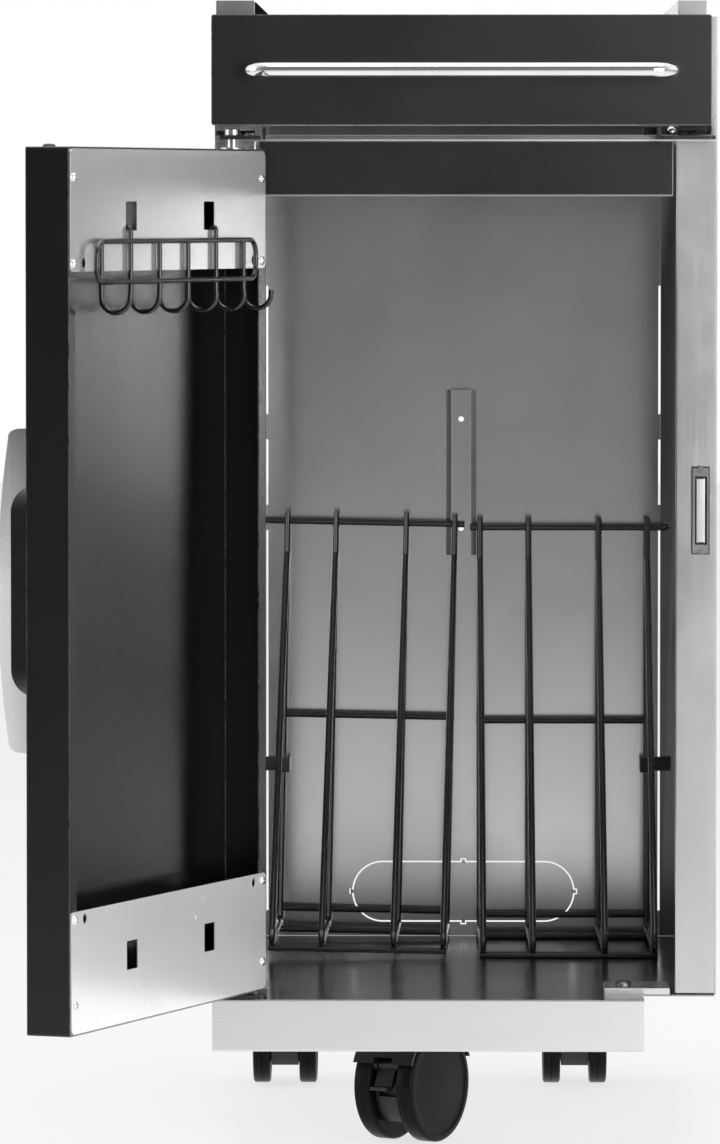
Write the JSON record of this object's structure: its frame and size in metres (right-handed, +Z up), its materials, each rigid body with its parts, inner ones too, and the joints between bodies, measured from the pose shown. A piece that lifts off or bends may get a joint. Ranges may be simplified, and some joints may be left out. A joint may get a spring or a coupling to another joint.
{
  "type": "grill cart storage bay",
  "caption": "Rolling stainless storage bay of an outdoor grill cart: dark pan door with a tool rack, towel bar fascia, and wire tray racks at the back.",
  "frame": {"origin": "middle of the bounding box's footprint, on the floor, with the door open as modelled", "axes": "+X to the right seen from the front, +Y into the cabinet, +Z up"},
  "size_m": [0.5516, 0.9066, 0.912],
  "materials": {
    "charcoal_paint": "satin powder coat",
    "satin_steel": "satin stainless sheet",
    "bright_steel": "bright annealed stainless sheet",
    "chrome": "polished",
    "black_wire": "glossy black coating",
    "black_steel": "black e-coat",
    "silver": "satin silver",
    "zinc": "zinc plated",
    "black_plastic": "moulded, lightly textured",
    "tread": "hard rubber tread",
    "magnet": "bare ground faces"
  },
  "bodies": {
    "cabinet": {"floor_pan": "bright_steel", "base_front_rail": "satin_steel", "base_left_rail": "satin_steel", "base_right_rail": "satin_steel", "base_rear_rail": "satin_steel", "front_cross_channel": "satin_steel", "rear_cross_channel": "satin_steel", "left_side_panel": "satin_steel", "right_side_panel": "satin_steel", "left_stile": "satin_steel", "right_stile": "satin_steel", "back_panel": "bright_steel", "top_plate": "satin_steel", "header_rail": "charcoal_paint", "fascia": "charcoal_paint", "towel_bar": "chrome", "towel_bar_nuts": "zinc", "left_worktop_rail": "satin_steel", "right_worktop_rail": "satin_steel", "rear_top_rail": "satin_steel", "rack_bracket": "satin_steel", "left_rack": "black_wire", "right_rack": "black_wire", "rack_clips": "black_plastic", "catch_housing": "black_plastic", "catch_magnet": "magnet", "left_top_bracket": "black_steel", "right_top_bracket": "black_steel", "lower_hinge_bracket": "black_steel", "bracket_screws": "zinc", "hinge_pins": "zinc", "joining_plate": "black_steel", "joining_bolt": "zinc", "caster_plates": "zinc", "caster_bolts": "zinc"},
    "door": {"door_pan": "charcoal_paint", "upper_liner": "bright_steel", "lower_liner": "bright_steel", "liner_screws": "zinc", "door_handle": "silver", "handle_screws": "zinc", "hinge_bushes": "zinc"},
    "tool_rack": {"hook_rack": "black_wire"},
    "front_caster": {"front_caster_hood": "black_plastic", "front_caster_stem": "zinc", "front_caster_axle": "zinc"},
    "front_wheel_left": {"front_caster_wheel_left": "tread"},
    "front_wheel_right": {"front_caster_wheel_right": "tread"},
    "rear_left_caster": {"rear_left_caster_hood": "black_plastic", "rear_left_caster_stem": "zinc", "rear_left_caster_axle": "zinc"},
    "rear_left_wheel_left": {"rear_left_caster_wheel_left": "tread"},
    "rear_left_wheel_right": {"rear_left_caster_wheel_right": "tread"},
    "rear_right_caster": {"rear_right_caster_hood": "black_plastic", "rear_right_caster_stem": "zinc", "rear_right_caster_axle": "zinc"},
    "rear_right_wheel_left": {"rear_right_caster_wheel_left": "tread"},
    "rear_right_wheel_right": {"rear_right_caster_wheel_right": "tread"},
    "brake_lever": {"brake_lever": "zinc"}
  },
  "joints": [
    {"name": "door_hinge", "type": "hinge", "parent": "cabinet", "child": "door", "pos_m": [-0.10778, -0.0921, 0.461], "axis": [0, 0, 1], "range_deg": [-15, 110.4]},
    {"name": "tool_rack_lift", "type": "slide", "parent": "door", "child": "tool_rack", "axis": [0, 0, 1], "range_m": [0, 0.017]},
    {"name": "front_swivel", "type": "hinge", "parent": "cabinet", "child": "front_caster", "pos_m": [0.04632, 0.0078, 0.1], "axis": [0, 0, 1], "continuous": true},
    {"name": "front_wheel_left_spin", "type": "hinge", "parent": "front_caster", "child": "front_wheel_left", "pos_m": [0.03329, -0.01354, 0.0455], "axis": [0.8536, -0.521, 0], "continuous": true},
    {"name": "front_wheel_right_spin", "type": "hinge", "parent": "front_caster", "child": "front_wheel_right", "pos_m": [0.03329, -0.01354, 0.0455], "axis": [0.8536, -0.521, 0], "continuous": true},
    {"name": "rear_left_swivel", "type": "hinge", "parent": "cabinet", "child": "rear_left_caster", "pos_m": [-0.07718, 0.3828, 0.1], "axis": [0, 0, 1], "continuous": true},
    {"name": "rear_left_wheel_left_spin", "type": "hinge", "parent": "rear_left_caster", "child": "rear_left_wheel_left", "pos_m": [-0.07718, 0.4078, 0.0455], "axis": [-1, 0, 0], "continuous": true},
    {"name": "rear_left_wheel_right_spin", "type": "hinge", "parent": "rear_left_caster", "child": "rear_left_wheel_right", "pos_m": [-0.07718, 0.4078, 0.0455], "axis": [-1, 0, 0], "continuous": true},
    {"name": "rear_right_swivel", "type": "hinge", "parent": "cabinet", "child": "rear_right_caster", "pos_m": [0.16982, 0.3828, 0.1], "axis": [0, 0, 1], "continuous": true},
    {"name": "rear_right_wheel_left_spin", "type": "hinge", "parent": "rear_right_caster", "child": "rear_right_wheel_left", "pos_m": [0.16982, 0.4078, 0.0455], "axis": [-1, 0, 0], "continuous": true},
    {"name": "rear_right_wheel_right_spin", "type": "hinge", "parent": "rear_right_caster", "child": "rear_right_wheel_right", "pos_m": [0.16982, 0.4078, 0.0455], "axis": [-1, 0, 0], "continuous": true},
    {"name": "brake_lever_hinge", "type": "hinge", "parent": "front_caster", "child": "brake_lever", "pos_m": [0.01558, -0.04256, 0.0635], "axis": [-0.8536, 0.521, 0], "range_deg": [0, 18]}
  ]
}
